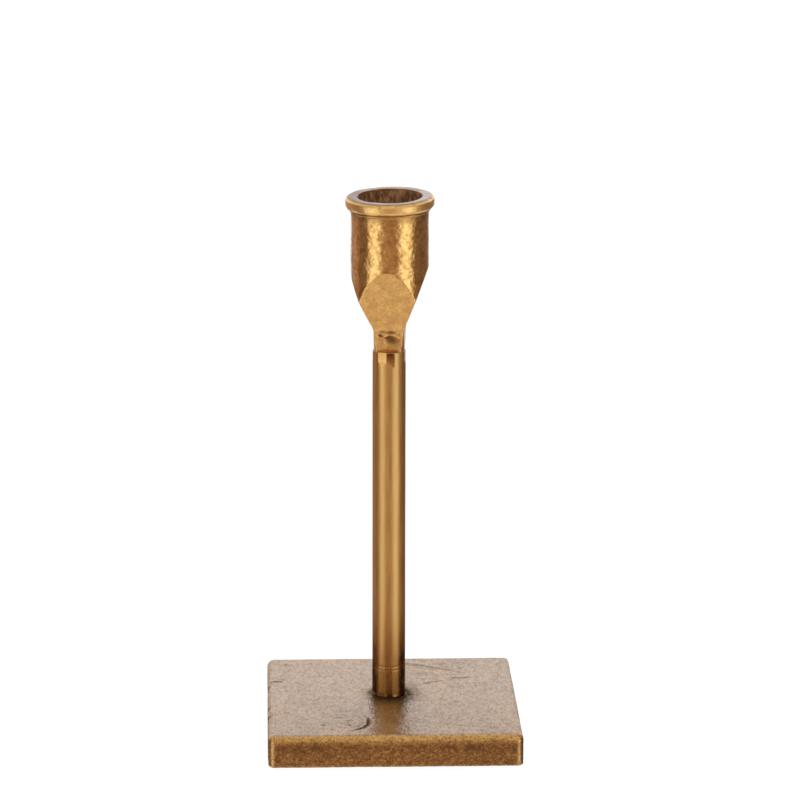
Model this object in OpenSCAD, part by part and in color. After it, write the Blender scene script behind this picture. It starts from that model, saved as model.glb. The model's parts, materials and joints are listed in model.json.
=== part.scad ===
// Candlestick: a square cast foot, a round tube stem and a cast candle cup whose
// barrel is ground to a square neck. One bolt from below holds the stem.
// Millimetres, +Z up. The origin is on the table, under the middle of the foot,
// and the front of the candlestick faces -Y.

/* [Overall] */
// Height from the table to the rim of the cup
overall_h = 196.3; // [180:0.1:240]

/* [Foot plate] */
// Side of the square plate
plate_w = 90; // [70:1:120]
// Thickness of the plate
plate_t = 11.6; // [11:0.1:16]
// Rounding of the top edges and of the upright corners
plate_round = 2.2; // [0.9:0.1:3]
// Size of the chamfer along the bottom edges
plate_chamfer = 0.8; // [0.2:0.1:0.8]
// Stem axis, to the right of the plate's middle
stem_x = -1.1; // [-6:0.1:6]
// Stem axis, to the rear of the plate's middle
stem_y = 2.9; // [-6:0.1:6]

/* [Stem] */
// Outer diameter of the tube
stem_d = 11.8; // [11.2:0.1:13]
// Wall of the tube
stem_wall = 1.2; // [0.9:0.1:1.2]
// Chamfer round the tube's lower end
stem_chamfer = 0.5; // [0.2:0.1:0.6]
// Middle of the rolled groove, above the plate
groove_up = 10.9; // [9:0.1:12]
// Width of the rolled groove
groove_w = 1.5; // [1:0.1:2]
// Depth of the rolled groove
groove_depth = 0.15; // [0.05:0.05:0.3]
// Depth of the staked flats at the tube's upper edge
stake_depth = 0.25; // [0.1:0.05:0.5]
// Length of the staked flats
stake_len = 5; // [3:0.5:8]

/* [Candle cup] */
// Height of the cup above the stem
cup_h = 56; // [55:0.1:60]
// Diameter of the candle bore
bore_d = 22.6; // [21.5:0.1:23.4]
// Depth of the candle bore
bore_depth = 24; // [18:0.5:25]
// Outer diameter of the barrel
barrel_d = 27.6; // [27:0.1:29]
// Outer diameter of the rim
rim_d = 31.4; // [30.6:0.1:33]
// Height of the rim bead
rim_h = 4.2; // [3:0.1:4.2]
// How far in from its edge the rim's top is crowned
rim_crown = 2.4; // [1.2:0.1:2.8]
// Where each ground face begins below the rim: right, rear, left, front
facet_tops = [25.7, 25.7, 28.4, 25.7]; // [24:0.1:32]
// Where the ground faces meet the neck, below the rim
neck_top = 47.8; // [45:0.1:49.5]
// Width across the flats of the neck
neck_flats = 10.6; // [10:0.1:11]
// How much deeper each flat is at the foot of the neck: right, rear, left, front
neck_relief = [0, 0.3, 0, 1.3]; // [0:0.1:1.3]
// Turn of the ground faces about the stem, clockwise from above
facet_turn = 6.5; // [0:0.5:15]
// Length of the tang inside the tube
tang_len = 18; // [10:1:30]

/* [Fastening] */
// Thread diameter of the bolt
bolt_d = 6; // [5:0.5:6]
// Length of the bolt under its head
bolt_len = 16; // [12:1:16]
// Width across the flats of the bolt's head
bolt_head_w = 10; // [8:0.5:10]
// Height of the bolt's head
bolt_head_h = 4; // [3.5:0.1:4]
// Diameter of the counterbore that hides the head
counterbore_d = 17; // [14:0.5:19]
// Diameter of the washers
washer_d = 12; // [11:0.1:13]
// Thickness of each washer
washer_t = 1.6; // [1:0.1:1.6]

/* [Foot pads] */
// Diameter of a felt pad
pad_d = 14; // [8:1:20]
// Thickness of a felt pad
pad_t = 1; // [0.6:0.1:3]
// Middle of a pad, in from the plate's edges
pad_inset = 14; // [11:0.5:20]

/* [Hidden] */
$fn = 96;
plate_top = pad_t + plate_t;
cup_base = overall_h - cup_h;
stem_r = stem_d / 2;
stem_bore_r = stem_r - stem_wall;
slip = 0.05;                                  // radial play of the tang and the plug in the tube
plug_r = stem_bore_r - slip;
plug_len = 14.6;
plug_spigot = 1.2;                            // how far the plug reaches into the plate
spigot_seat_r = plug_r + 0.1;
spigot_seat_depth = plug_spigot + 0.1;
head_recess = 0.4;                            // how far the bolt's head stays above the plate's underside
head_top = pad_t + head_recess + bolt_head_h;
counterbore_depth = head_recess + bolt_head_h + 2 * washer_t;
groove_z = plate_top + groove_up;
lip_r = 0.45;                                 // the thin second lip under the rim bead
eps = 0.01;
brass = [0.72, 0.52, 0.28];
dark_brass = [0.56, 0.42, 0.26];
steel = [0.62, 0.63, 0.65];
felt = [0.13, 0.12, 0.11];

// Points along an arc about (x, y), from angle a0 to angle a1. Its half width is wide, or r
function arc(x, y, r, a0, a1, steps = 8, wide = 0) =
    let (half = wide > 0 ? wide : r)
    [for (i = [0 : steps]) let (a = a0 + (a1 - a0) * i / steps) [x + half * cos(a), y + r * sin(a)]];

// Places its children on the stem's axis
module on_stem() {
    translate([stem_x, stem_y, 0]) children();
}

// A cylinder that starts a little below z and ends a little above z + h, for cutting
module bore(d, z, h) {
    translate([0, 0, z - eps]) cylinder(d = d, h = h + 2 * eps);
}

// A flat ring lying on z
module ring(outer_d, inner_d, z, h) {
    translate([0, 0, z]) difference() {
        cylinder(d = outer_d, h = h);
        bore(inner_d, 0, h);
    }
}

// The plate's body: round upright corners and top edges, chamfered bottom edges
module slab() {
    middle = plate_w / 2 - plate_round;
    hull() for (x = [-middle, middle], y = [-middle, middle]) translate([x, y, pad_t]) {
        cylinder(r1 = plate_round - plate_chamfer, r2 = plate_round, h = plate_chamfer, $fn = 32);
        translate([0, 0, plate_t - plate_round]) sphere(r = plate_round, $fn = 32);
    }
}

// The foot: the stem's spigot seat above, the bolt's counterbore below
module base_plate() {
    color(dark_brass) difference() {
        slab();
        on_stem() {
            bore(2 * spigot_seat_r, plate_top - spigot_seat_depth, spigot_seat_depth);
            bore(bolt_d + 0.6, 0, plate_top);
            bore(counterbore_d, pad_t, counterbore_depth);
        }
    }
}

// A flat that runs out downwards, where the tube's upper end is staked on to the tang
module stake_flat(azimuth, length) {
    rotate(azimuth) translate([stem_r, -stem_r, cup_base - length])
        rotate([0, -atan(stake_depth / length), 0]) cube([stem_r, stem_d, length + 1]);
}

// The stem: the rolled groove grips the plug, the staked flats grip the cup's tang
module stem_tube() {
    half_groove = groove_w / 2;
    bead = half_groove - 0.2;
    profile = [[stem_bore_r, plate_top], [stem_r - stem_chamfer, plate_top],
               [stem_r, plate_top + stem_chamfer], [stem_r, groove_z - half_groove],
               [stem_r - groove_depth, groove_z - half_groove + groove_depth],
               [stem_r - groove_depth, groove_z + half_groove - groove_depth],
               [stem_r, groove_z + half_groove], [stem_r, cup_base - 0.3],
               [stem_r - 0.3, cup_base], [stem_bore_r, cup_base],
               [stem_bore_r, groove_z + bead], [stem_bore_r - groove_depth, groove_z + bead / 2],
               [stem_bore_r - groove_depth, groove_z - bead / 2], [stem_bore_r, groove_z - bead]];
    color(brass) on_stem() difference() {
        rotate_extrude() polygon(profile);
        stake_flat(-113, stake_len);
        stake_flat(-83, stake_len + 1.2);
        for (azimuth = [-10, 80, 170]) stake_flat(azimuth, stake_len);
    }
}

// Outer shape of the casting, all of it round
module cup_blank() {
    rim_r = rim_d / 2;
    barrel_r = barrel_d / 2;
    neck_r = stem_r - slip;
    lip_z = overall_h - rim_h;
    profile = concat(
        [[0, cup_base], [neck_r, cup_base], [neck_flats * 0.72, overall_h - neck_top],
         [barrel_r, overall_h - 36.8]],
        arc(barrel_r, lip_z - lip_r, lip_r, -90, 90),
        arc(rim_r - 1.7, lip_z + 1.7, 1.7, -90, 0),
        arc(rim_r - rim_crown, overall_h - 1.1, 1.1, 0, 90, 10, rim_crown),
        [[0, overall_h]]);
    rotate_extrude() polygon(profile);
}

// The metal ground away on one side: a slope down the barrel, then a flat down the neck
module facet_cut(facet_top, relief) {
    flat = neck_flats / 2;
    barrel_r = barrel_d / 2;
    above = 4;
    slope = (barrel_r - flat) / (neck_top - facet_top);
    rotate([90, 0, 0]) linear_extrude(height = 2 * rim_d, center = true) polygon([
        [barrel_r + above * slope, overall_h - facet_top + above], [flat, overall_h - neck_top],
        [flat - relief, cup_base], [rim_d, cup_base], [rim_d, overall_h - facet_top + above]]);
}

// The candle cup: bead rim, blind candle bore, four ground faces, neck and tang
module candle_cup() {
    punch_r = 2.4;
    punch_depth = 1.3;                        // below the top of the neck's front flat
    color(brass) on_stem() {
        difference() {
            cup_blank();
            bore(bore_d, overall_h - bore_depth, bore_depth);
            translate([0, 0, overall_h - 0.4]) cylinder(d1 = bore_d, d2 = bore_d + 0.9, h = 0.45);
            for (side = [0 : 3])
                rotate(side * 90 - facet_turn) facet_cut(facet_tops[side], neck_relief[side]);
            translate([0.5, -neck_flats / 2 - punch_r + punch_depth, cup_base + 4.1]) sphere(r = punch_r);
        }
        translate([0, 0, cup_base - tang_len]) cylinder(r1 = plug_r - 0.8, r2 = plug_r, h = 0.8);
        translate([0, 0, cup_base - tang_len + 0.8]) cylinder(r = plug_r, h = tang_len - 0.8 + eps);
    }
}

// Threaded insert in the stem's lower end, with the groove that the tube is rolled into
module base_plug() {
    bottom = plate_top - plug_spigot;
    color(brass) on_stem() difference() {
        translate([0, 0, bottom]) cylinder(r = plug_r, h = plug_len);
        bore(bolt_d, bottom, plug_len);
        translate([0, 0, groove_z - groove_w / 2]) difference() {
            cylinder(r = plug_r + 1, h = groove_w);
            bore(2 * (plug_r - 0.25), 0, groove_w);
        }
    }
}

// Hexagon bolt, driven up through the plate into the plug
module base_bolt() {
    corner_r = bolt_head_w / 2 / cos(30);
    shank_r = bolt_d / 2 - slip;
    color(steel) on_stem() translate([0, 0, head_top]) {
        translate([0, 0, -bolt_head_h]) intersection() {
            cylinder(r = corner_r, h = bolt_head_h, $fn = 6);
            cylinder(r1 = corner_r - 0.6, r2 = corner_r - 0.6 + bolt_head_h, h = bolt_head_h);
        }
        translate([0, 0, -eps]) cylinder(r = shank_r, h = bolt_len - 0.8 + eps);
        translate([0, 0, bolt_len - 0.8]) cylinder(r1 = shank_r, r2 = shank_r - 0.8, h = 0.8);
    }
}

// Split spring washer under the bolt's head
module spring_washer() {
    slit = 1;
    color(steel) on_stem() difference() {
        ring(washer_d - 0.2, bolt_d + 0.3, head_top, washer_t);
        translate([washer_d / 4, 0, head_top + washer_t / 2]) rotate([25, 0, 0])
            cube([washer_d, slit, 3 * washer_t], center = true);
    }
}

// Plain washer between the spring washer and the plate
module plain_washer() {
    color(steel) on_stem() ring(washer_d, bolt_d + 0.4, head_top + washer_t, washer_t);
}

// One felt pad, towards the corner given by two signs
module foot_pad(side_x, side_y) {
    reach = plate_w / 2 - pad_inset;
    color(felt) translate([side_x * reach, side_y * reach, 0]) cylinder(d = pad_d, h = pad_t);
}

base_plate();
stem_tube();
candle_cup();
base_plug();
base_bolt();
spring_washer();
plain_washer();
foot_pad(-1, -1);  // foot_pad_front_left
foot_pad(1, -1);  // foot_pad_front_right
foot_pad(-1, 1);  // foot_pad_rear_left
foot_pad(1, 1);  // foot_pad_rear_right
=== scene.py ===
"""The candlestick's looks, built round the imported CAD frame.

Shapes are worked out in millimetres and become metres when a mesh is made. The
front of the candlestick faces -Y. Azimuths are degrees from the front, positive
towards +X.
"""

import json
import math

import bpy
import numpy as np
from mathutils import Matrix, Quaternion, Vector


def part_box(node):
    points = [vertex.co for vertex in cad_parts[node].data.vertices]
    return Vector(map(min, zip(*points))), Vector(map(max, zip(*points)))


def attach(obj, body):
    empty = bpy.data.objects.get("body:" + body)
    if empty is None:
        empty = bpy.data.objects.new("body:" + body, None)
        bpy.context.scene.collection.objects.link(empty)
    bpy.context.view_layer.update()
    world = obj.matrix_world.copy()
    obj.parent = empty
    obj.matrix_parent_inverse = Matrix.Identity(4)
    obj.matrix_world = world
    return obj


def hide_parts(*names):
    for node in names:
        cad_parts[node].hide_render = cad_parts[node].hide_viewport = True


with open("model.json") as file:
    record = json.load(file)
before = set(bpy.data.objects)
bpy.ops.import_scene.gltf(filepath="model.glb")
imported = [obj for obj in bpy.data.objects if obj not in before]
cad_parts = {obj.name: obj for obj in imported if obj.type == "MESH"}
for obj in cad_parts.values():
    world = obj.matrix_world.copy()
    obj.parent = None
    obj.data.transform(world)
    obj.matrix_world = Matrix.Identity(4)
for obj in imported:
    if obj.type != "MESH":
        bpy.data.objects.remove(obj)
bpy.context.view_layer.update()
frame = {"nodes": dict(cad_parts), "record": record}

MM = 0.001                                     # one millimetre, in metres


# ---------------------------------------------------------------- the frame, in millimetres

def box_mm(node):
    """Lowest and highest corner of a CAD node."""
    low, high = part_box(node)
    return np.array(low) / MM, np.array(high) / MM


plate_low, plate_high = box_mm("base_plate")
stem_low, stem_high = box_mm("stem_tube")
cup_low, cup_high = box_mm("candle_cup")
bolt_low, bolt_high = box_mm("base_bolt")
plug_low, plug_high = box_mm("base_plug")
washer_high = box_mm("plain_washer")[1]
socket = next(m for m in frame["record"]["mounts"] if m["name"] == "candle_socket")

AXIS = (stem_low + stem_high)[:2] / 2
STEM_R = (stem_high - stem_low)[0] / 2
PLUG_R = (plug_high - plug_low)[0] / 2
SOCKET_R = socket["dims"]["r_mm"]


# ---------------------------------------------------------------- shape tools

FAR = 99.0                                     # further out than anything on the candlestick


def ease(low, high, value):
    """0 below low, 1 above high, and a smooth step between. It falls if low is above high."""
    t = np.clip((value - low) / (high - low), 0, 1)
    return t * t * (3 - 2 * t)


def bell(value, width):
    """1 where the value is 0, and less and less on both sides of it."""
    return np.exp(-(value / width) ** 2)


def deepest(*layers):
    """The strongest of several layers at each point."""
    return np.maximum.reduce(np.broadcast_arrays(*layers))


def soft_min(a, b, width):
    """The smaller of two values, blended where they are closer than that width."""
    share = np.clip(0.5 + 0.5 * (b - a) / width, 0, 1)
    return b + (a - b) * share - width * share * (1 - share)


def noise(points, cell, seed):
    """Smooth random values, mostly between -1 and 1, that change over that many millimetres."""
    table_size, gain = 256, 1.6
    draw = np.random.default_rng(seed)
    order = draw.permutation(table_size)
    slopes = draw.normal(size=(table_size, 3))
    slopes /= np.linalg.norm(slopes, axis=1, keepdims=True)
    place = points / cell
    base = np.floor(place).astype(int)
    part = place - base
    blend = part ** 3 * (part * (part * 6 - 15) + 10)
    total = np.zeros(points.shape[:-1])
    for corner in np.ndindex(2, 2, 2):
        index = 0
        for axis in range(3):
            index = order[(index + base[..., axis] + corner[axis]) % table_size]
        pull = np.sum(slopes[index] * (part - corner), axis=-1)
        weight = np.prod(np.where(corner, blend, 1 - blend), axis=-1)
        total += weight * pull
    return total * gain


def layered_noise(points, cell, seed, layers=3):
    """Noise with finer and weaker noise on top."""
    return sum(noise(points, cell / 2 ** n, seed + n) / 1.7 ** n for n in range(layers))


def arc(x, y, radius, start, end, steps=8, wide=1.0):
    """Points along an arc about (x, y), by angles in degrees. Wide stretches it sideways."""
    angles = np.radians(np.linspace(start, end, steps + 1))
    return [(x + wide * radius * math.cos(a), y + radius * math.sin(a)) for a in angles]


def fill_in(outline, step):
    """The outline with more points between its own, none further apart than the step."""
    points = [np.array(outline[0], float)]
    for start, end in zip(outline, outline[1:]):
        count = max(1, math.ceil(math.dist(start, end) / step))
        for n in range(1, count + 1):
            points.append(np.array(start) + (np.array(end) - start) * n / count)
    return np.array(points)


def rings_about_stem(profile, turns):
    """A grid of points, one ring for each (radius, height) of the profile."""
    angle = 2 * np.pi * np.arange(turns) / turns
    radius, height = profile[:, 0, None], profile[:, 1, None]
    x = AXIS[0] + radius * np.cos(angle)
    y = AXIS[1] + radius * np.sin(angle)
    return np.stack([x, y, np.broadcast_to(height, x.shape)], axis=-1)


def about_stem(grid):
    """Each point's offset from the stem's axis, its angle about it and its distance from it."""
    offset = grid[..., :2] - AXIS
    return offset, np.arctan2(offset[..., 1], offset[..., 0]), np.hypot(offset[..., 0], offset[..., 1])


def facing(angle, azimuth):
    """How squarely a point at that angle about the stem faces the azimuth, from -1 to 1."""
    return np.cos(angle - math.radians(azimuth - 90))


def outward(grid):
    """The unit normal at each point of a grid of rings."""
    along = np.gradient(grid, axis=0)
    around = np.roll(grid, -1, axis=1) - np.roll(grid, 1, axis=1)
    normal = np.cross(around, along)
    return normal / np.maximum(np.linalg.norm(normal, axis=-1, keepdims=True), 1e-9)


def mesh_from_rings(name, grid, marks, joined=False):
    """A piece skinned over a grid of rings. It closes at both ends, or end to end if joined.

    marks are named grids of numbers that the piece's material reads.
    """
    rings, turns = grid.shape[:2]
    index = np.arange(rings * turns).reshape(rings, turns)
    lower = index if joined else index[:-1]
    upper = np.roll(index, -1, axis=0) if joined else index[1:]
    quads = np.stack([lower, np.roll(lower, -1, axis=1), np.roll(upper, -1, axis=1), upper], axis=-1)
    faces = quads.reshape(-1, 4).tolist()
    if not joined:
        faces.append(index[0, ::-1].tolist())
        faces.append(index[-1].tolist())
    mesh = bpy.data.meshes.new(name)
    mesh.from_pydata((grid.reshape(-1, 3) * MM).tolist(), [], faces)
    for mark, values in marks.items():
        attribute = mesh.attributes.new(mark, "FLOAT", "POINT")
        attribute.data.foreach_set("value", values.reshape(-1).astype(np.float32))
    mesh.shade_smooth()
    mesh.set_sharp_from_angle(angle=math.radians(50))
    piece = bpy.data.objects.new(name, mesh)
    bpy.context.scene.collection.objects.link(piece)
    return piece


# ---------------------------------------------------------------- candle cup

RIM_TILT = (math.tan(math.radians(1.07)), math.tan(math.radians(1.7)))
RIM_TOP = cup_high[2] - 0.6                    # height of the tilted rim at the cup's axis
RIM_R = (cup_high - cup_low)[0] / 2
RIM_SHIFT = 0.2                                # how far the rim's middle lies right of the axis
BEAD_FOOT = RIM_TOP - 4.25
LIP_R = 0.45                                   # the thin second lip under the rim's bead
BARREL_R = 13.8
SHOULDER = RIM_TOP - 36.4                      # where the round barrel ends, before grinding
NECK_TOP = RIM_TOP - 47.2
NECK_TURN = -6.5                               # turn of the ground faces about the stem
CUP_FOOT = stem_high[2]
SOCKET_FLOOR = socket["pos_m"][2] / MM - 11.4
CUP_TURNS = 300
# Azimuth of each ground face, where it starts below the rim, its bulge, how far from the
# axis it meets the neck, and how much deeper it is at the foot of the neck
GROUND_FACES = [(0, 25.1, 0.1, 5.3, 1.35), (90, 25.1, 0.1, 5.6, 0.1), (180, 25.1, 0.1, 5.3, 0.3),
                (270, 27.8, 0.35, 5.15, 0)]
# Chisel marks on the front of the neck: middle (x from the axis, and height), width, length, slant,
# depth and stain
NECK_MARKS = [((1.2, 143.8), 3.1, 2.7, 0.35, 0.8, 1.0), ((0.5, 144.4), 1.9, 1.9, 0.4, 0.3, 1.5),
              ((-3.2, 146.1), 1.0, 0.9, 0.2, 0.6, 1.3), ((0.5, 147.4), 2.4, 0.9, 0, 0.25, 1.0),
              ((-2.6, 147.6), 1.6, 0.9, 0, 0.2, 0.7)]
# The metal that a chisel pushed up beside them: middle, width, length and height
NECK_BURR = ((-1.6, 146.0), 1.0, 0.9, 0.6)


def cup_outline():
    """Half sections of the cup: its outside from the tang to the mouth, and its socket."""
    tang = [(PLUG_R - 0.8, cup_low[2]), (PLUG_R, cup_low[2] + 0.8), (PLUG_R, CUP_FOOT)]
    body = [(PLUG_R, CUP_FOOT), (STEM_R - 0.15, CUP_FOOT), (7.6, NECK_TOP), (BARREL_R, SHOULDER),
            (BARREL_R, BEAD_FOOT - 2 * LIP_R - 0.5), (BARREL_R + 0.1, BEAD_FOOT - 2 * LIP_R)]
    lip = arc(BARREL_R + 0.05, BEAD_FOOT - LIP_R, LIP_R, -80, 60, 8)
    bead = arc(RIM_R - 1.6, BEAD_FOOT + 1.6, 1.6, -75, 0, 10)
    bead += arc(RIM_R - 2.1, RIM_TOP - 1.3, 1.3, 0, 90, 12, wide=2.1 / 1.3)
    mouth = arc(SOCKET_R + 0.5, RIM_TOP - 0.62, 0.5, 85, 180, 5)
    bore = [(SOCKET_R, RIM_TOP - 0.72), (SOCKET_R, SOCKET_FLOOR + 1), (SOCKET_R - 1, SOCKET_FLOOR),
            (0.3, SOCKET_FLOOR)]
    outer = np.concatenate([fill_in(tang, 1.5), fill_in(body, 0.27)[1:], fill_in(lip + bead + mouth, 0.27)])
    return outer, fill_in(bore, 0.6)


def ground_radius(angle, height):
    """How far out the four ground faces let the cup's metal reach."""
    slope_blend, edge_blend, least_facing = 0.5, 0.3, 0.2
    reach = np.full(angle.shape, FAR)
    for azimuth, start, bulge, flat, relief in GROUND_FACES:
        top = RIM_TOP - start
        slope = (height - NECK_TOP) / (top - NECK_TOP)
        out = flat + (BARREL_R - flat) * slope
        out = out + bulge * np.sin(np.pi * np.clip(slope, 0, 1))
        down = (NECK_TOP - height) / (NECK_TOP - CUP_FOOT)
        neck = flat - relief * down
        out = -soft_min(-out, -neck, slope_blend)
        square = facing(angle, azimuth + NECK_TURN)
        plane = np.where(square > least_facing, out / np.maximum(square, least_facing), FAR)
        reach = soft_min(reach, plane, edge_blend)
    return reach


def gouge(x, height, middle, width, length, slant=0.0):
    """How deep a chisel mark is at each point: steep at its top and running out below."""
    across = (x - middle[0] - slant * (middle[1] - height)) / width
    down = (middle[1] - height) / length
    return np.clip(1 - across ** 2 - down ** 2, 0, 1) ** 0.75 * ease(1.2, -0.2, down)


def cut_neck_marks(grid, height, front):
    """Cuts the chisel marks into the front of the neck, and returns how stained each point is."""
    x = grid[..., 0] - AXIS[0]
    stained = np.zeros(height.shape)
    for middle, width, length, slant, depth, stain in NECK_MARKS:
        cut = gouge(x, height, middle, width, length, slant) * front
        grid[..., 1] += depth * cut
        stained = deepest(stained, np.minimum(stain * cut, 1))
    middle, width, length, rise = NECK_BURR
    grid[..., 1] -= rise * gouge(x, height, middle, width, length) * front
    return stained


def make_candle_cup():
    outer, bore = cup_outline()
    grid = rings_about_stem(np.concatenate([outer, bore]), CUP_TURNS)
    flat, angle, radius = about_stem(grid)
    height = grid[..., 2].copy()
    outside = np.broadcast_to(np.arange(len(grid))[:, None] < len(outer), angle.shape)
    in_bore = np.where(outside, 0, ease(RIM_TOP - 0.3, RIM_TOP - 1.0, height))
    cast = outside & (radius > PLUG_R + 0.01) & (height >= CUP_FOOT) & (height < BEAD_FOOT)

    # The cast skin, with the four ground faces cut through it
    peel = layered_noise(grid, 1.6, 11, 2)
    on_barrel = ease(NECK_TOP, NECK_TOP + 7, height) * cast
    skin = radius + on_barrel * (0.045 * peel + 0.10 * noise(grid, 7, 3))
    limit = ground_radius(angle, height) + 0.03 * noise(grid, 5, 7) + 0.012 * noise(grid, 1.8, 8)
    shaped = np.where(cast, soft_min(skin, limit, 0.22), radius)
    ground = np.where(cast, ease(-0.05, 0.1, skin - limit), 0)
    grid[..., :2] = AXIS + flat * (shaped / np.maximum(radius, 1e-6))[..., None]

    # Unevenness of the rim and of the socket's wall
    rim = ease(BEAD_FOOT - 1.5, BEAD_FOOT, height) * outside
    relief = rim * (0.018 * layered_noise(grid, 2.0, 21, 2) + 0.10 * noise(grid, 5, 22))
    relief = relief + in_bore * 0.06 * layered_noise(grid, 1.4, 31, 2)
    grid += outward(grid) * relief[..., None]
    chiselled = cut_neck_marks(grid, height, (flat[..., 1] < 0) & cast)

    # The rim sits a little out of true
    grid[..., 0] += RIM_SHIFT * ease(NECK_TOP, NECK_TOP + 12, height)
    tilt = ease(RIM_TOP - 9, RIM_TOP - 4.5, height)
    grid[..., 2] += tilt * (flat[..., 0] * RIM_TILT[0] + flat[..., 1] * RIM_TILT[1])

    # Dark patina in the hollows and mottled over the rim, painted shade under the rim, in the crease under
    # its bead and on the left of its crown, darker towards the neck on the ground faces, round the socket's
    # mouth and inside the socket, and a bright rub round the rim's edge
    crown = rim * ease(RIM_TOP - 0.6, RIM_TOP - 0.15, height)
    # Painted shade in the crease under the bead
    crease_shade = bell(height - BEAD_FOOT, 0.4) * outside * (radius < RIM_R - 0.9)
    dirt_and_shade = deepest(
        chiselled,
        0.5 * on_barrel * (1 - ground) * ease(0.1, -1.1, peel),
        0.55 * on_barrel * ease(BEAD_FOOT - 5, BEAD_FOOT - 1, height),
        0.05 * ground * ease(NECK_TOP + 15, NECK_TOP, height),
        0.32 * rim * (0.5 + 0.5 * noise(grid, 3.5, 33)),
        0.7 * crown * ease(-4, -13, flat[..., 0]),
        0.6 * rim * ease(0.15, 0.8, layered_noise(grid, 2.6, 34, 3)),
        0.5 * crease_shade,
        rim * ease(SOCKET_R + 0.6, SOCKET_R + 0.1, radius),
        0.9 * np.logical_not(outside))
    wear_and_highlight = rim * (1 - crown) * ease(RIM_R - 1.6, RIM_R - 0.1, radius)
    return mesh_from_rings("candle_cup_cast", grid, {"dirt_and_shade": dirt_and_shade, "wear_and_highlight": wear_and_highlight, "ground": ground,
                                                     "bore": in_bore, "crown": crown})


# ---------------------------------------------------------------- stem

STEM_TURNS = 216
RING_HEIGHTS = (22.9, 24.1)                    # the two fine lines that bound the rolled groove
GROOVE = sum(RING_HEIGHTS) / 2
# Flats staked into the stem's upper end: azimuth, depth, start, length, how much longer their right
# edge is for each millimetre across, and stain
STAKED_FLATS = [(-26, 0.24, 0, 4.7, 0, 0.3), (3, 0.20, 0.3, 5.6, 0.7, 0.85), (80, 0.25, 0, 5, 0, 0.5),
                (170, 0.25, 0, 5, 0, 0.5), (260, 0.25, 0, 5, 0, 0.5)]
# Azimuth and half width of the painted highlights on the stem's lower lip
LIP_HIGHLIGHTS = [(-23, 17), (20, 10), (110, 20), (200, 25), (290, 15)]


def stem_outline():
    """The tube's half section: its outside, upwards, and then its bore, downwards."""
    inner_r = PLUG_R + 0.05
    low, high = stem_low[2], stem_high[2]
    grooved = [(inner_r, low), (STEM_R - 0.1, low), (STEM_R, low + 0.1), (STEM_R, GROOVE + 4)]
    plain = [(STEM_R, GROOVE + 4), (STEM_R, high - 8)]
    staked = [(STEM_R, high - 8), (STEM_R, high - 0.35)]
    staked += arc(STEM_R - 0.35, high - 0.35, 0.35, 0, 90, 4) + [(inner_r, high)]
    bore = [(inner_r, high - 1), (inner_r, low + 1)]
    outer = np.concatenate([fill_in(grooved, 0.22), fill_in(plain, 1.2)[1:], fill_in(staked, 0.3)[1:]])
    return outer, fill_in(bore, 4)


def stake_stem(shaped, angle, down, skin):
    """Presses the flats into the stem's upper end. Returns its radius, where it is flat, and stain."""
    staked, stained = np.zeros(angle.shape), np.zeros(angle.shape)
    for azimuth, depth, start, length, slant, stain in STAKED_FLATS:
        length = length + slant * STEM_R * np.sin(angle - math.radians(azimuth - 90))
        cut = depth * ease(length, length - 1.6, down) * ease(start - 0.3, start + 0.1, down)
        square = facing(angle, azimuth)
        plane = np.where(square > 0.5, (STEM_R - cut) / np.maximum(square, 0.5), FAR)
        flat_here = skin * ease(-0.01, 0.04, shaped - plane)
        staked = deepest(staked, flat_here)
        stained = deepest(stained, stain * flat_here * ease(length, 0, down))
        shaped = np.where(skin, soft_min(shaped, plane, 0.03), shaped)
    return shaped, staked, stained


def stem_shade_and_seam(grid, flat, angle):
    """Painted shade on the lower stem, darker down its two sides and in its middle as seen from the front,
    and a dull seam.
    """
    height = grid[..., 2]
    side = np.cos(angle)
    # Painted shade down the two sides and the middle of the lower stem, as seen from the front
    side_shade = deepest(1.05 * ease(-0.48, -0.88, side), 1.1 * ease(0.36, 0.74, side))
    middle = 0.18 + 0.36 * bell(side + 0.14, 0.27) + 0.1 * bell(side - 0.4, 0.2)
    seam = bell(flat[..., 0] - 0.8 - 0.35 * noise(grid, 7, 44), 0.45) * (flat[..., 1] < 0)
    seam = seam * ease(GROOVE + 40, GROOVE + 5, height) * ease(-0.6, 0.4, noise(grid, 5, 45))
    painted_shade = deepest(side_shade * ease(GROOVE + 27, GROOVE - 5, height),
                   middle * ease(GROOVE + 34, GROOVE, height))
    return painted_shade, 0.12 * seam


def stem_wear_and_highlights(grid, angle, low):
    """How bright each point is: painted highlights on the lower lip, and the worn edges of the groove."""
    height = grid[..., 2]
    wear_and_highlight = np.zeros(angle.shape)
    for azimuth, half_width in LIP_HIGHLIGHTS:
        turn = np.degrees(np.angle(np.exp(1j * (angle - math.radians(azimuth - 90)))))
        wear_and_highlight = deepest(wear_and_highlight, bell(turn, half_width) * bell(height - low - 0.6, 0.6))
    for ring in RING_HEIGHTS:
        wear_and_highlight = deepest(wear_and_highlight, 0.4 * ease(-0.3, 0.4, noise(grid, 3, 46)) * bell(height - ring, 0.2))
    return wear_and_highlight


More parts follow.
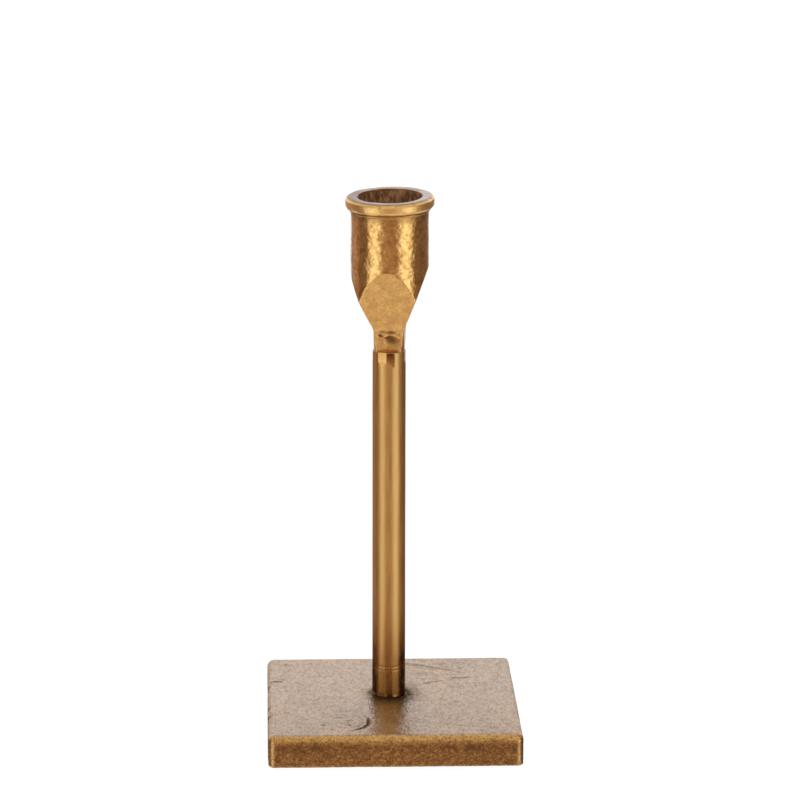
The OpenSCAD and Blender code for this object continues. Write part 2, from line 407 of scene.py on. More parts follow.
def make_stem():
    low, high = stem_low[2], stem_high[2]
    outer, bore = stem_outline()
    grid = rings_about_stem(np.concatenate([outer, bore]), STEM_TURNS)
    flat, angle, radius = about_stem(grid)
    height = grid[..., 2]
    skin = (np.arange(len(grid))[:, None] < len(outer)) & (radius > STEM_R - 0.6)

    # Drawing has left it slightly uneven. It swells a little below the groove
    shaped = radius + skin * (0.035 * noise(grid * (1, 1, 0.12), 4, 41) + 0.02 * noise(grid, 12, 42))
    shaped = shaped + skin * 0.09 * bell(height - low - 0.2, 0.5)
    shaped = shaped + skin * 0.07 * ease(GROOVE + 3, GROOVE - 3, height)
    for ring in RING_HEIGHTS:
        shaped = shaped - skin * 0.06 * bell(height - ring, 0.25)
    shaped, staked, stained = stake_stem(shaped, angle, high - height, skin)
    grid[..., :2] = AXIS + flat * (shaped / radius)[..., None]

    # Painted shade on the lower stem, stains on the flats and a dull seam
    painted_shade, seam = stem_shade_and_seam(grid, flat, angle)
    dirt_and_shade = deepest(stained, skin * painted_shade) + skin * seam
    # Painted shade at the stem's foot, where it meets the plate, and a little darker at its very top
    dirt_and_shade = deepest(dirt_and_shade, skin * 0.15 * ease(high - 0.6, high, height),
                     skin * 0.85 * ease(low + 2.5, low + 0.5, height))
    wear_and_highlight = skin * stem_wear_and_highlights(grid, angle, low)
    return mesh_from_rings("stem_drawn_tube", grid, {"dirt_and_shade": dirt_and_shade, "wear_and_highlight": wear_and_highlight, "ground": staked},
                           joined=True)


# ---------------------------------------------------------------- foot plate

HALF = (plate_high - plate_low)[0] / 2 - 0.2    # leaves room for the cast skin
CORNERS = (1.1, 2.6, 2.6, 2.4)                  # radii: rear right, rear left, front left, front right
EDGE_R, FOOT_R = 2.4, 0.7                       # rounding of the upper and the lower edge
SIDE_STEPS, CORNER_STEPS = 138, 10
TOP = plate_high[2] - 0.08
UNDER = plate_low[2]
FEEDER = (-17, -28.2)                           # middle of the oval left where the metal was poured
FEEDER_HALF = (7.6, 10.9)
# Pits left by sand and gas: x, y, radius and depth
PITS = [(-25.4, -32.3, 1.0, 0.5), (-16.2, -32.6, 1.0, 0.5), (-38, 36.2, 1.4, 0.25), (-39.9, 23.2, 0.9, 0.2),
        (-38.8, 18.6, 0.7, 0.2), (-38.2, 11.6, 1.0, 0.25), (30, -18, 0.8, 0.15), (22, -30, 0.6, 0.15),
        (36, 6, 0.9, 0.15)]
# Cold-shut lines and scratches: start, end, half width and depth
CREASES = [((-43.4, 16.9), (-40.2, 16.9), 0.7, 0.3), ((12.3, 13.7), (18.6, 16.2), 0.7, 0.20),
           ((22.9, 19.3), (27.8, 19.7), 0.85, 0.25), ((20.2, 9.8), (24.8, 9.6), 0.5, 0.08),
           ((-10.6, 7.4), (-7, 7.3), 0.35, 0.15), ((-9.4, -1.8), (-7.3, -1.8), 0.35, 0.15),
           ((5.4, 8.1), (7.3, 1.2), 0.5, 0.12)]
LEFT_LUMPS = (12.9, -10.9, -20.8)               # y of the lumps along the left upper edge


def square_ring(inset):
    """Points round the plate that far in from its sides, anticlockwise from its right side."""
    half = HALF - inset
    radii = [max(radius - inset, 0.3) for radius in CORNERS]
    turn = np.radians(np.linspace(0, 90, CORNER_STEPS, endpoint=False))
    quarter_turn = np.array([[0, 1], [-1, 0]])
    sides = []
    for k in range(4):
        run = np.linspace(radii[k - 1] - half, half - radii[k], SIDE_STEPS, endpoint=False)
        straight = np.stack([np.full(SIDE_STEPS, half), run], axis=-1)
        bend = half - radii[k] + radii[k] * np.stack([np.cos(turn), np.sin(turn)], axis=-1)
        sides.append(np.concatenate([straight, bend]) @ np.linalg.matrix_power(quarter_turn, k))
    return np.concatenate(sides)


def segment_distance(x, y, a, b):
    """Distance of each point from the line between a and b."""
    a, b = np.array(a, float), np.array(b, float)
    step = b - a
    share = np.clip(((x - a[0]) * step[0] + (y - a[1]) * step[1]) / (step @ step), 0, 1)
    return np.hypot(x - a[0] - share * step[0], y - a[1] - share * step[1])


def feeder_mark(grid):
    """A shallow oval with a raised line round it, plainest on its right: its level and its dirt."""
    x, y = grid[..., 0], grid[..., 1]
    across, along = (x - FEEDER[0]) / FEEDER_HALF[0], (y - FEEDER[1]) / FEEDER_HALF[1]
    away = np.hypot(across, along) * (1 + 0.08 * noise(grid, 9, 54))
    side = np.arctan2(along, across)
    plain = 0.35 + 0.65 * ease(-0.4, 0.8, np.cos(side - 0.4))
    dished = ease(1.04, 0.85, away)
    ridges = plain * (0.12 * bell(away - 1.1, 0.08) + 0.09 * bell(away - 0.82, 0.07))
    crescent = ease(0.4, 0.95, np.cos(side + 0.5)) * bell(away - 1.0, 0.065)
    faint = 0.25 * ease(-0.5, 0.5, np.cos(side - 0.6)) * bell(away - 1.0, 0.05)
    faint += 0.3 * ease(-0.2, 0.6, np.cos(side)) * bell(away - 0.72, 0.05)
    streaks = noise(np.stack([0.25 * x, y, 0 * x], axis=-1), 1.6, 58)
    level = ridges - 0.08 * dished - 0.34 * crescent - 0.15 * faint + 0.18 * ease(1.2, 0.8, away) * streaks
    return level, deepest(crescent, faint, 0.5 * ease(1.4, 0.9, away) * ease(0.1, 0.8, -streaks))


def pits_and_creases(grid):
    """Pits, cold-shut lines and scratches: their level and their dirt."""
    x, y = grid[..., 0], grid[..., 1]
    wander = 0.5 * noise(grid, 4, 55)
    level, dirt = np.zeros(x.shape), np.zeros(x.shape)
    for pit_x, pit_y, radius, depth in PITS:
        pit = bell(np.hypot(x - pit_x, y - pit_y), radius)
        level = level - depth * pit
        dirt = deepest(dirt, 1.4 * depth * pit)
    for start, end, width, depth in CREASES:
        line = bell(segment_distance(x + wander, y, start, end), width)
        level = level - depth * line
        dirt = deepest(dirt, 2.4 * depth * line)
    return level, dirt


def chill_ripples(grid):
    """Ripples where the metal chilled, near the rear right: their level and their dirt."""
    x, y = grid[..., 0], grid[..., 1]
    zone = ease(1.2, 0.8, np.hypot((x - 14) / 17, (y - 31) / 11))
    fan = (y - 24 + 0.012 * (x - 12) ** 2) / np.maximum(36 - x, 6)
    ripple = noise(np.stack([0.07 * x, 6 * fan, 0 * x], axis=-1), 1.0, 56)
    ripple = ripple + 0.25 * noise(grid * (0.25, 1, 1), 2.2, 59)
    return 0.2 * zone * ripple, 0.36 * zone * ease(0, 0.7, -ripple)


def stem_corner_dirt_and_shade(x, y):
    """Old polish and painted shade in the corner round the stem, and a painted reflection of the stem on
    the plate in front of it. It reaches furthest in front and on the right.
    """
    away = np.hypot(x - AXIS[0], y - AXIS[1]) - STEM_R
    in_front = ease(0, -6, y)
    # A painted reflection of the stem, reaching out on the plate in front of it
    before = ease(9, 4, np.abs(x - AXIS[0])) * in_front
    reach = 2.2 + 2.2 * ease(-2, 4, x) + in_front + 4.5 * before
    return np.exp(-(np.maximum(away, 0) / reach) ** 1.3)


def plate_relief(grid):
    """Height of the cast top over a true plane, and how deep in dirt and painted shade each point lies."""
    x, y = grid[..., 0], grid[..., 1]
    grain = layered_noise(grid, 3.0, 53, 3)
    coarse = 0.6 + 0.4 * ease(-20, 25, x + 10 * noise(grid, 20, 57))
    level = 0.10 * noise(grid, 26, 51) + 0.05 * noise(grid, 9, 52) + 0.10 * coarse * grain
    features = [feeder_mark(grid), pits_and_creases(grid), chill_ripples(grid)]
    # Darker towards the front, in patches
    front_darkening = 0.10 * ease(15, -42, y) * (1 + 0.6 * noise(grid, 14, 60))
    dirt = deepest(0.18 * ease(0.1, 1.0, -grain), front_darkening, stem_corner_dirt_and_shade(x, y),
                   *[feature_dirt for _, feature_dirt in features])
    return level + sum(feature_level for feature_level, _ in features), dirt


def plate_rings():
    """The plate's rings, from the stem's seat out over the top, down the side, in under and up.

    The two numbers are how many rings the top has, and how many there are before the underside.
    """
    seat_r, hole_r, counter_r = PLUG_R + 0.1, 3.3, 8.5
    seat_floor, ceiling = plug_low[2] - 0.1, washer_high[2]
    outline = square_ring(0)
    bearing = np.arctan2(outline[:, 1] - AXIS[1], outline[:, 0] - AXIS[0])
    spoke = np.stack([np.cos(bearing), np.sin(bearing)], axis=-1)

    def circle(radius, height):
        return np.concatenate([AXIS + radius * spoke, np.full((len(spoke), 1), height)], axis=1)

    def square(inset, height):
        ring = square_ring(inset)
        return np.concatenate([ring, np.full((len(ring), 1), height)], axis=1)

    def between(first, last, count):
        return [first + (last - first) * n / count for n in range(1, count)]

    edge = [square(EDGE_R * (1 - math.sin(a)), TOP - EDGE_R * (1 - math.cos(a)))
            for a in np.radians(np.linspace(0, 90, 9))]
    side = between(square(0, TOP - EDGE_R), square(0, UNDER + FOOT_R), 22)
    foot = [square(FOOT_R * (1 - math.cos(a)), UNDER + FOOT_R * (1 - math.sin(a)))
            for a in np.radians(np.linspace(0, 90, 5))]
    top = [circle(seat_r, TOP)] + between(circle(seat_r, TOP), edge[0], 100)
    rings = top + edge + side + foot
    side_end = len(rings)
    rings += between(foot[-1], circle(counter_r, UNDER), 12)
    rings += [circle(counter_r, UNDER), circle(counter_r, ceiling - 0.5), circle(counter_r, ceiling),
              circle(hole_r, ceiling), circle(hole_r, seat_floor), circle(seat_r, seat_floor),
              circle(seat_r, TOP - 0.3)]
    return np.array(rings), len(top), side_end


def make_base_plate():
    grid, top_count, side_end = plate_rings()
    number = np.arange(len(grid))[:, None] + np.zeros(grid.shape[:2])
    on_top = number < top_count + 4
    on_side = (number >= top_count + 4) & (number < side_end)
    seat_away = np.hypot(grid[..., 0] - AXIS[0], grid[..., 1] - AXIS[1]) - PLUG_R
    near_seat = ease(0.3, 2.1, seat_away)
    edge_fade = ease(top_count + 8, top_count - 6, number)
    side_fade = ease(top_count + 2, top_count + 10, number) * (number < side_end)

    # The cast skin of the top and the sides, and lumps along the left upper edge
    level, dirt = plate_relief(grid)
    rough = layered_noise(grid, 2.0, 61, 3)
    push = level * near_seat * edge_fade + side_fade * (0.07 * rough - 0.04)
    push = push + (on_side | on_top) * (1 - edge_fade) * 0.08 * noise(grid, 10, 62)
    for lump in LEFT_LUMPS:
        near = bell(grid[..., 1] - lump, 0.9) * bell(grid[..., 2] - TOP + 1.6, 1.3)
        push = push + 0.5 * near * (grid[..., 0] < 2 - HALF)
    grid += outward(grid) * push[..., None]
    grid = np.clip(grid, plate_low + 0.01, plate_high - 0.01)

    # Painted highlight, with some wear, along the front upper edge and down the corners, more on the left;
    # painted shade high on the sides, and the front and rear faces lighter across their middles
    bright = ease(top_count + 1, top_count + 4, number) * ease(top_count + 12, top_count + 7, number)
    wear_and_highlight = bright * (0.8 + 0.4 * noise(grid, 2, 63)) * (0.35 + 0.65 * ease(6 - HALF, 2 - HALF, grid[..., 1]))
    corner_run = np.hypot(np.abs(grid[..., 0]) - HALF, np.abs(grid[..., 1]) - HALF)
    wear_and_highlight = deepest(wear_and_highlight, on_side * ease(3.4, 1.6, corner_run) * np.where(grid[..., 0] < 0, 0.7, 0.3))
    # Painted shade high on the sides, under the upper edge; the front and rear faces lighter across their
    # middles
    shade_under_edge = 0.35 * ease(UNDER + 4, TOP - 4, grid[..., 2])
    lighter_middle = 0.28 * bell(grid[..., 0] + 2, 22)
    side_dirt_and_shade = side_fade * (0.28 + shade_under_edge - lighter_middle - 0.6 * np.clip(rough, -0.7, 0.7))
    dirt_and_shade = np.where(on_top, dirt * near_seat, side_dirt_and_shade)
    top = ease(top_count + 6, top_count, number)
    return mesh_from_rings("foot_plate_cast", grid, {"dirt_and_shade": dirt_and_shade, "wear_and_highlight": wear_and_highlight, "top": top},
                           joined=True)


# ---------------------------------------------------------------- bolt and pads

def make_base_bolt():
    """A hexagon bolt: chamfered head, shank and a rolled thread."""
    head_h, corner, flat_r = 4.0, 5.7, 5.0
    pitch, crest, root = 1.0, 2.93, 2.4
    hub_r, dimple_r, bearing_r = 0.2, 4.6, 4.9
    turns, rings_per_pitch = 96, 10
    head_low, shank_low, tip = bolt_low[2], bolt_low[2] + head_h, bolt_high[2]
    angle = 2 * np.pi * np.arange(turns) / turns
    hexagon = flat_r / np.cos((angle + np.pi / 6) % (np.pi / 3) - np.pi / 6)
    rings = [(hub_r, head_low), (dimple_r, head_low), (bearing_r, head_low + 0.05),
             (np.minimum(hexagon, 5.2), head_low + 0.22), (np.minimum(hexagon, corner), head_low + 0.75),
             (hexagon, head_low + 1.0), (hexagon, shank_low - 0.4),
             (np.minimum(hexagon, corner), shank_low - 0.25), (np.minimum(hexagon, 5.0), shank_low - 0.05),
             (bearing_r, shank_low), (crest, shank_low)]
    for height in np.arange(shank_low + 0.3, tip - 0.4, pitch / rings_per_pitch):
        phase = ((height - shank_low) / pitch - angle / (2 * np.pi)) % 1
        depth = np.clip(np.abs(phase - 0.5) * 2.6 - 0.25, 0, 1)
        taper = ease(tip - 0.2, tip - 1.4, height) * ease(shank_low, shank_low + 1.5, height)
        point = 0.35 * ease(tip - 1.2, tip - 0.3, height)
        rings.append((crest - (crest - root) * depth * taper - point, height))
    rings += [(root - 0.1, tip), (hub_r, tip)]
    radius = np.array([np.broadcast_to(r, turns) for r, _ in rings])
    height = np.array([h for _, h in rings])[:, None] + np.zeros_like(radius)
    grid = np.stack([AXIS[0] + radius * np.cos(angle), AXIS[1] + radius * np.sin(angle), height], axis=-1)
    return mesh_from_rings("base_bolt_m6", grid, {"wear_and_highlight": np.zeros(radius.shape)})


def make_foot_pad(node):
    """A felt disc with soft edges and a slightly uneven rim."""
    low, high = box_mm(node)
    centre, radius, turns = (low + high)[:2] / 2, (high - low)[0] / 2 - 0.05, 96
    thick = high[2] - low[2]
    hub_r, lower_round, upper_round = 0.2, 0.3, 0.15
    outline = [(hub_r, low[2])]
    outline += arc(radius - lower_round, low[2] + lower_round, lower_round, -90, 0, 4)
    outline += arc(radius - upper_round, high[2] - upper_round, upper_round, 0, 90, 3) + [(hub_r, high[2])]
    grid = rings_about_stem(fill_in(outline, 0.5), turns)
    grid[..., :2] += centre - AXIS
    fuzz = 0.04 * layered_noise(grid, 0.9, 71, 2)
    spread = grid[..., :2] - centre
    distance = np.hypot(spread[..., 0], spread[..., 1])
    grid[..., :2] += spread / distance[..., None] * (fuzz * ease(radius - 1, radius, distance))[..., None]
    pressed = ease(low[2] + 0.4 * thick, low[2], grid[..., 2])
    grid[..., 2] += pressed * np.abs(0.03 * noise(grid, 1.2, 72))
    return mesh_from_rings(node + "_felt", grid, {"wear_and_highlight": np.zeros(distance.shape)})


# ---------------------------------------------------------------- materials

class Shader:
    """A node material, or a node world, that is written one node at a time."""

    def __init__(self, owner, output="ShaderNodeOutputMaterial"):
        owner.use_nodes = True
        self.tree = owner.node_tree
        self.tree.nodes.clear()
        self.output = self.add(output)

    def add(self, kind, settings=None, **sockets):
        """Adds a node. Sockets are values or other nodes' outputs. An underscore stands for a space."""
        node = self.tree.nodes.new(kind)
        for name, value in (settings or {}).items():
            setattr(node, name, value)
        for name, value in sockets.items():
            self.plug(node, int(name[1:]) if name[0] == "_" else name.replace("_", " "), value)
        return node

    def plug(self, node, socket_name, value):
        if isinstance(value, bpy.types.NodeSocket):
            self.tree.links.new(value, node.inputs[socket_name])
        else:
            node.inputs[socket_name].default_value = value

    def math(self, operation, a, b, clamp):
        settings = {"operation": operation, "use_clamp": clamp}
        return self.add("ShaderNodeMath", settings, _0=a, _1=b).outputs[0]

    def times(self, a, b, clamp=False):
        return self.math("MULTIPLY", a, b, clamp)

    def plus(self, a, b, clamp=False):
        return self.math("ADD", a, b, clamp)

    def minus(self, a, b, clamp=False):
        return self.math("SUBTRACT", a, b, clamp)

    def step(self, value, low, high, first=0.0, last=1.0):
        """A smooth step from first to last as the value goes from low to high."""
        node = self.add("ShaderNodeMapRange", {"interpolation_type": "SMOOTHSTEP"}, Value=value,
                        From_Min=low, From_Max=high, To_Min=first, To_Max=last)
        return node.outputs[0]

    def mix(self, share, first, second):
        node = self.add("ShaderNodeMix", {"data_type": "RGBA"})
        self.plug(node, 0, share)
        self.plug(node, 6, first)
        self.plug(node, 7, second)
        return node.outputs[2]

    def scale(self, vector, factors):
        node = self.add("ShaderNodeVectorMath", {"operation": "MULTIPLY"}, _0=vector, _1=factors)
        return node.outputs[0]

    def place(self, stretch):
        """The point's place on the object, in millimetres, scaled along each axis."""
        place = self.add("ShaderNodeTexCoord").outputs["Object"]
        return self.scale(place, tuple(s / MM for s in stretch))

    def noise(self, cell, detail=3, stretch=(1, 1, 1), roughness=0.55):
        """Noise from 0 to 1 whose blobs are about that many millimetres."""
        node = self.add("ShaderNodeTexNoise", Vector=self.place(stretch), Scale=1 / cell, Detail=detail,
                        Roughness=roughness)
        return node.outputs["Fac"]

    def mark(self, name):
        """A number that the mesh carries at each of its points."""
        return self.add("ShaderNodeAttribute", {"attribute_name": name}).outputs["Fac"]

    def bump(self, height, depth, below=None):
        """Bump of that many millimetres, on top of another bump."""
        node = self.add("ShaderNodeBump", Height=height, Distance=depth * MM)
        if below is not None:
            self.plug(node, "Normal", below)
        return node.outputs[0]

    def surface(self, **sockets):
        principled = self.add("ShaderNodeBsdfPrincipled", **sockets)
        self.tree.links.new(principled.outputs[0], self.output.inputs[0])


LACQUER_ROUGHNESS = 0.12


def new_shader(name):
    return Shader(bpy.data.materials.new(name))


def cast_foot_brass():
    skin_light, skin_dark = (0.350, 0.182, 0.058, 1), (0.285, 0.15, 0.048, 1)
    skin_speck, skin_dirt_and_shade = (0.17, 0.09, 0.032, 1), (0.05, 0.025, 0.012, 1)
    grain_gold, grain_brown = (0.62, 0.32, 0.086, 1), (0.23, 0.105, 0.028, 1)
    side_speck, side_dirt_and_shade = (0.16, 0.066, 0.016, 1), (0.13, 0.052, 0.013, 1)
    edge_wear_and_highlight_gold = (0.70, 0.38, 0.10, 1)
    s = new_shader("cast_foot_brass")
    grit = s.noise(0.55, 3, stretch=(1, 0.35, 1))
    mottle = s.noise(1.1, 4, stretch=(1, 0.35, 1))
    top, dirt_and_shade = s.mark("top"), s.mark("dirt_and_shade")
    dirt = s.times(top, dirt_and_shade)

    # The lacquered top: an even brown skin under a thin coat
    speckle = s.step(s.plus(s.times(grit, 0.45), s.times(mottle, 0.55)), 0.42, 0.62)
    top_tone = s.mix(s.step(s.noise(12, 3), 0.35, 0.65), skin_light, skin_dark)
    top_tone = s.mix(s.times(speckle, 0.5), top_tone, skin_speck)
    # Dirt, painted shade and a painted reflection of the stem darken the top round the stem
    top_tone = s.mix(dirt_and_shade, top_tone, skin_dirt_and_shade)

    # The sides: brass grains showing through brown
    grain = s.step(s.noise(0.8, 4, stretch=(1, 0.45, 1.3)), 0.28, 0.70)
    side_tone = s.mix(grain, grain_gold, grain_brown)
    side_tone = s.mix(s.times(s.step(mottle, 0.38, 0.66), 0.5), side_tone, side_speck)
    # Dirt, and painted shade high under the upper edge, darken the sides
    side_tone = s.mix(s.times(dirt_and_shade, 0.8), side_tone, side_dirt_and_shade)
    colour = s.mix(top, side_tone, top_tone)
    # Painted highlight, with some wear, along the front upper edge and down the corners
    wear_and_highlight_share = s.times(s.mark("wear_and_highlight"), s.step(grit, 0.72, 0.36), clamp=True)
    colour = s.mix(wear_and_highlight_share, colour, edge_wear_and_highlight_gold)

    # Dirt, painted shade and rough specks are dull and break the coat
    coat = s.minus(s.step(top, 0.0, 1.0, 0.4, 1.0), s.times(speckle, 0.3))
    coat = s.minus(coat, dirt, clamp=True)
    rough = s.plus(s.step(top, 0.0, 1.0, 0.30, 0.50), s.times(dirt, 0.3))
    sand_depth, skin_depth = s.step(top, 0.0, 1.0, 0.15, 0.06), s.step(top, 0.0, 1.0, 0.07, 0.20)
    sand = s.bump(s.times(sand_depth, s.noise(0.8, 4, (1, 0.5, 1), 0.6)), 1.0)
    skin = s.bump(s.times(skin_depth, s.noise(0.95, 4, (1, 0.45, 1), 0.6)), 1.0)
    s.surface(Base_Color=colour, Metallic=1.0, Roughness=rough, Normal=sand,
              Specular_Tint=(0.5, 0.5, 0.5, 1), Coat_Weight=coat, Coat_Roughness=LACQUER_ROUGHNESS,
              Coat_IOR=1.7, Coat_Normal=skin)


def drawn_stem_brass():
    brass_dark, brass_light = (0.50, 0.26, 0.072, 1), (0.62, 0.34, 0.098, 1)
    bronze, tarnish_and_shade = (0.52, 0.26, 0.065, 1), (0.50, 0.215, 0.052, 1)
    grime_and_shade_brown, wear_and_highlight_gold = (0.075, 0.032, 0.014, 1), (0.80, 0.46, 0.17, 1)
    s = new_shader("drawn_stem_brass")
    streaks = s.noise(0.8, 4, stretch=(1, 1, 0.06))
    clouds = s.noise(9, 3, stretch=(1, 1, 0.4))
    tone = s.mix(s.step(streaks, 0.3, 0.7), brass_dark, brass_light)
    tone = s.mix(s.times(s.step(clouds, 0.4, 0.75), 0.4), tone, bronze)

    # Grime and painted shade first warm the brass, and then hide it
    patchy = s.step(s.noise(1.2, 4, stretch=(1, 1, 0.3)), 0.2, 0.6, 0.6, 1.1)
    grime_and_shade = s.times(s.mark("dirt_and_shade"), patchy)
    tone = s.mix(s.times(grime_and_shade, 1.6, clamp=True), tone, tarnish_and_shade)
    colour = s.mix(s.times(grime_and_shade, grime_and_shade, clamp=True), tone, grime_and_shade_brown)
    # Painted highlights on the lower lip, and the worn edges of the groove
    colour = s.mix(s.times(s.mark("wear_and_highlight"), 0.8), colour, wear_and_highlight_gold)
    drawn_lines = s.bump(s.noise(0.25, 2, stretch=(1, 1, 0.02)), 0.006)
    rough = s.minus(s.step(streaks, 0.2, 0.8, 0.36, 0.46), s.times(s.mark("ground"), 0.16))
    coat = s.times(s.minus(1.0, grime_and_shade, clamp=True), 0.3)
    s.surface(Base_Color=colour, Metallic=1.0, Roughness=rough, Normal=drawn_lines, Coat_Weight=coat,
              Coat_Roughness=LACQUER_ROUGHNESS, Coat_IOR=1.5, Specular_Tint=(0.6, 0.6, 0.6, 1))


def cast_cup_brass():
    cast_gold, cast_bronze = (0.78, 0.44, 0.125, 1), (0.54, 0.26, 0.065, 1)
    ground_gold, ground_bronze = (0.86, 0.49, 0.148, 1), (0.70, 0.37, 0.104, 1)
    ground_cloud = (0.64, 0.33, 0.095, 1)
    speck_brown, wear_and_highlight_gold = (0.42, 0.19, 0.05, 1), (0.87, 0.52, 0.165, 1)
    umber, crown_brown = (0.17, 0.065, 0.018, 1), (0.12, 0.058, 0.026, 1)
    soot_dark, soot_light = (0.17, 0.07, 0.03, 1), (0.56, 0.28, 0.115, 1)
    s = new_shader("cast_cup_brass")
    fine = s.noise(0.9, 3)
    dirt_and_shade, ground, wear_and_highlight = s.mark("dirt_and_shade"), s.mark("ground"), s.mark("wear_and_highlight")
    cast_tone = s.mix(s.step(s.noise(2.4, 3), 0.40, 0.68), cast_gold, cast_bronze)
    cast_tone = s.mix(s.times(s.step(fine, 0.50, 0.70), 0.5), cast_tone, speck_brown)
    cast_tone = s.mix(wear_and_highlight, cast_tone, wear_and_highlight_gold)
    ground_tone = s.mix(s.step(fine, 0.35, 0.65), ground_gold, ground_bronze)
    ground_tone = s.mix(s.step(s.noise(3.5, 2), 0.35, 0.7), ground_tone, ground_cloud)
    specks = s.step(s.noise(0.8, 3), 0.57, 0.68)
    ground_tone = s.mix(s.times(specks, 0.7), ground_tone, speck_brown)
    colour = s.mix(ground, cast_tone, ground_tone)
    # Patina in the hollows, and painted shade under the rim, in the crease and on the left of the crown
    colour = s.mix(s.times(dirt_and_shade, 0.9), colour, umber)

    # The crown of the rim is tarnished dark under the coat
    colour = s.mix(s.times(s.mark("crown"), 0.92), colour, crown_brown)

    # Soot and dull brown down the socket
    bore = s.mark("bore")
    soot = s.mix(s.step(s.noise(1.4, 4, stretch=(1, 1, 0.45)), 0.36, 0.68), soot_dark, soot_light)
    colour = s.mix(bore, colour, soot)
    metal = s.step(bore, 0.0, 1.0, 1.0, 0.35)
    rough = s.plus(s.step(ground, 0.0, 1.0, 0.20, 0.38), s.times(bore, 0.3))
    rough = s.plus(rough, s.times(wear_and_highlight, 0.14))
    rough = s.plus(rough, s.times(dirt_and_shade, 0.2))
    orange_peel = s.bump(s.noise(1.1, 2), 0.055)
    satin = s.bump(s.noise(0.22, 2), 0.010, orange_peel)
    coat = s.times(s.minus(1.0, dirt_and_shade, clamp=True), 0.4)
    s.surface(Base_Color=colour, Metallic=metal, Roughness=rough, Normal=satin, Coat_Weight=coat,
              Coat_Roughness=LACQUER_ROUGHNESS, Coat_IOR=1.5)


def turned_plug_brass():
    brass_dark, brass_light = (0.72, 0.50, 0.20, 1), (0.80, 0.58, 0.26, 1)
    s = new_shader("turned_plug_brass")
    rings = s.noise(0.3, 2, stretch=(0.05, 0.05, 1))
    colour = s.mix(s.step(rings, 0.3, 0.7), brass_dark, brass_light)
    s.surface(Base_Color=colour, Metallic=1.0, Roughness=s.step(rings, 0.2, 0.8, 0.25, 0.4),
              Normal=s.bump(rings, 0.02))


def zinc_steel():
    zinc_dark, zinc_light, stain = (0.48, 0.49, 0.50, 1), (0.62, 0.62, 0.60, 1), (0.30, 0.27, 0.22, 1)
    s = new_shader("zinc_plated_steel")
    spangle = s.noise(1.1, 3)
    colour = s.mix(s.step(spangle, 0.35, 0.65), zinc_dark, zinc_light)
    colour = s.mix(s.step(s.noise(2.4, 4), 0.62, 0.75), colour, stain)
    s.surface(Base_Color=colour, Metallic=1.0, Roughness=s.step(spangle, 0.2, 0.8, 0.28, 0.45),
              Normal=s.bump(s.noise(0.3, 3), 0.01))


def pad_felt():
    felt_dark, felt_light = (0.012, 0.011, 0.010, 1), (0.05, 0.046, 0.042, 1)
    tuft_grey = (0.075, 0.068, 0.06, 1)
    s = new_shader("pad_felt")
    fibres = s.noise(0.35, 5, roughness=0.75)
    tufts = s.noise(1.4, 3)
    colour = s.mix(s.step(fibres, 0.3, 0.7), felt_dark, felt_light)
    colour = s.mix(s.times(s.step(tufts, 0.4, 0.8), 0.5), colour, tuft_grey)
    s.surface(Base_Color=colour, Roughness=0.95, Sheen_Weight=0.6, Sheen_Roughness=0.5,
              Normal=s.bump(fibres, 0.15))


# ---------------------------------------------------------------- studio

# Light from the studio, painted one layer over another: azimuth and half width, how soft its sides
# are, lowest and highest elevation, strength and tint
WARM, NEUTRAL, COOL = (1.38, 1.0, 0.92), (1, 1, 1), (0.90, 1.0, 1.14)
ROOM = (0.17, WARM)
ALL_ROUND, STRAIGHT_DOWN, STRAIGHT_UP = 180, -90, 90
LAYERS = [(-2, 27, 8, STRAIGHT_DOWN, STRAIGHT_UP, 0.36, WARM),
          (-127, 16, 10, STRAIGHT_DOWN, STRAIGHT_UP, 0.42, WARM),
          (180, 30, 12, STRAIGHT_DOWN, STRAIGHT_UP, 0.30, NEUTRAL),
          (-49, 16, 9, -50, STRAIGHT_UP, 1.72, COOL),
          (47, 17, 10, -50, STRAIGHT_UP, 1.85, COOL),
          (0, ALL_ROUND, 0, STRAIGHT_DOWN, -34, 0.90, NEUTRAL),
          (0, ALL_ROUND, 0, 30, STRAIGHT_UP, 0.85, NEUTRAL),
          (0, 66, 10, 8, STRAIGHT_UP, 0.85, NEUTRAL),
          (180, 50, 15, 6, STRAIGHT_UP, 1.52, NEUTRAL),
          (164, 9, 4, -14, 16, 1.3, NEUTRAL),
          (-164, 9, 4, -14, 16, 1.3, NEUTRAL)]
SOFT_ELEVATION = 7                             # half the fade at a layer's lower and upper edge


def sine(degrees):
    return math.sin(math.radians(degrees))


def cosine(degrees):
    return math.cos(math.radians(degrees))


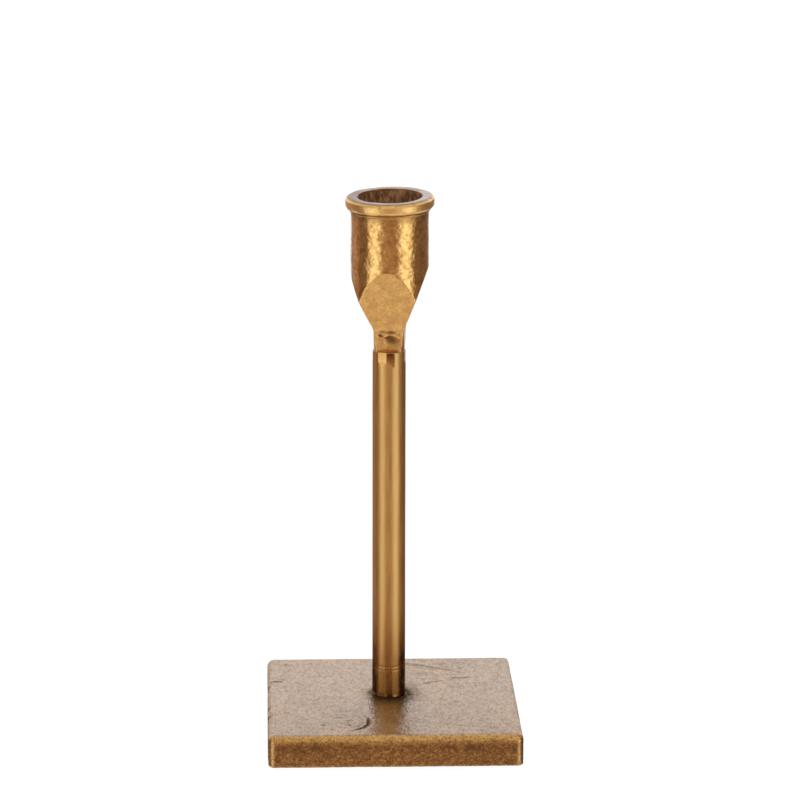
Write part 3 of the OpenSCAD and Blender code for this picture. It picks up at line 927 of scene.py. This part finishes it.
def make_studio_light():
    world = bpy.data.worlds.new("studio")
    bpy.context.scene.world = world
    s = Shader(world, "ShaderNodeOutputWorld")
    direction = s.add("ShaderNodeTexCoord").outputs["Generated"]
    level = s.scale(direction, (1, 1, 0))
    heading = s.add("ShaderNodeVectorMath", {"operation": "NORMALIZE"}, _0=level).outputs[0]
    up = s.add("ShaderNodeSeparateXYZ", Vector=direction).outputs["Z"]

    def tinted(strength, tint):
        return (strength * tint[0], strength * tint[1], strength * tint[2], 1)

    def above(degrees):
        return s.step(up, sine(degrees - SOFT_ELEVATION), sine(degrees + SOFT_ELEVATION))

    colour = tinted(*ROOM)
    for azimuth, half, soft, low, high, strength, tint in LAYERS:
        cover = 1.0
        if half < ALL_ROUND:
            centre = (sine(azimuth), -cosine(azimuth), 0)
            turn = s.add("ShaderNodeVectorMath", {"operation": "DOT_PRODUCT"}, _0=heading, _1=centre)
            cover = s.step(turn.outputs["Value"], cosine(half + soft), cosine(half - soft))
        if low > STRAIGHT_DOWN:
            cover = s.times(cover, above(low))
        if high < STRAIGHT_UP:
            cover = s.times(cover, s.minus(1.0, above(high)))
        colour = s.mix(cover, colour, tinted(strength, tint))
    background = s.add("ShaderNodeBackground", Color=colour)
    s.tree.links.new(background.outputs[0], s.output.inputs[0])


def stage_mesh(name, points, faces, grey, glow):
    """A stage surface that the camera sees and reflections don't."""
    mesh = bpy.data.meshes.new(name)
    mesh.from_pydata(points, [], faces)
    stage = bpy.data.objects.new(name, mesh)
    bpy.context.scene.collection.objects.link(stage)
    s = new_shader(name + "_paper")
    s.surface(Base_Color=(grey, grey, grey, 1), Roughness=1.0, Specular_IOR_Level=0.0,
              Emission_Color=(1, 1, 1, 1), Emission_Strength=glow)
    mesh.materials.append(bpy.data.materials[name + "_paper"])
    stage.visible_glossy = False
    stage.visible_shadow = False
    return stage


def make_stage():
    """A pale floor, and a wide pale wall round it."""
    reach, wall, steps = 4.0, 4.0, 48
    turn = [2 * math.pi * n / steps for n in range(steps)]
    rim = [(reach * math.cos(a), reach * math.sin(a), 0) for a in turn]
    top = [(x, y, wall) for x, y, _ in rim]
    quads = [(n, (n + 1) % steps, steps + (n + 1) % steps, steps + n) for n in range(steps)]
    ceiling = list(range(steps, 2 * steps))
    stage_mesh("floor", rim, [list(range(steps))], grey=0.08, glow=0.96)
    backdrop = stage_mesh("backdrop", rim + top, quads + [ceiling], grey=0.0, glow=1.0)
    backdrop.visible_diffuse = False


def make_camera():
    """The photograph's view: a long lens, a little above the candlestick and to its left."""
    distance, elevation, azimuth = 1.3989, 15.465, -1.89
    aim_elevation, aim_azimuth, roll = elevation - 1.252, azimuth - 0.114, 0.121
    target = Vector((0, 0, 0.091))

    def towards(azimuth_deg, elevation_deg):
        across = cosine(elevation_deg)
        return Vector((sine(azimuth_deg) * across, -cosine(azimuth_deg) * across, sine(elevation_deg)))

    camera = bpy.data.objects.new("camera", bpy.data.cameras.new("camera"))
    bpy.context.scene.collection.objects.link(camera)
    camera.data.sensor_width = 36
    camera.data.lens = 176.73
    camera.location = target + distance * towards(azimuth, elevation)
    camera.rotation_mode = "QUATERNION"
    aim = towards(aim_azimuth, aim_elevation).to_track_quat("Z", "Y")
    camera.rotation_quaternion = aim @ Quaternion((0, 0, 1), math.radians(roll))
    bpy.context.scene.camera = camera


# ---------------------------------------------------------------- the scene

def dress(piece, shader_name, node):
    """Gives a new piece its material, and puts it in the place of its CAD node."""
    piece.data.materials.append(bpy.data.materials[shader_name])
    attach(piece, "root")
    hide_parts(node)


def repaint(node, shader_name):
    """Gives a CAD node that stays its material."""
    materials = frame["nodes"][node].data.materials
    for n in range(len(materials)):
        materials[n] = bpy.data.materials[shader_name]


make_camera()
make_studio_light()
make_stage()
for make_material in (cast_foot_brass, drawn_stem_brass, cast_cup_brass, turned_plug_brass, zinc_steel,
                      pad_felt):
    make_material()

dress(make_base_plate(), "cast_foot_brass", "base_plate")
dress(make_stem(), "drawn_stem_brass", "stem_tube")
dress(make_candle_cup(), "cast_cup_brass", "candle_cup")
dress(make_base_bolt(), "zinc_plated_steel", "base_bolt")
for pad in [n for n in sorted(frame["nodes"]) if n.startswith("foot_pad")]:
    dress(make_foot_pad(pad), "pad_felt", pad)
repaint("base_plug", "turned_plug_brass")
repaint("spring_washer", "zinc_plated_steel")
repaint("plain_washer", "zinc_plated_steel")

bpy.context.scene.view_settings.view_transform = "Standard"
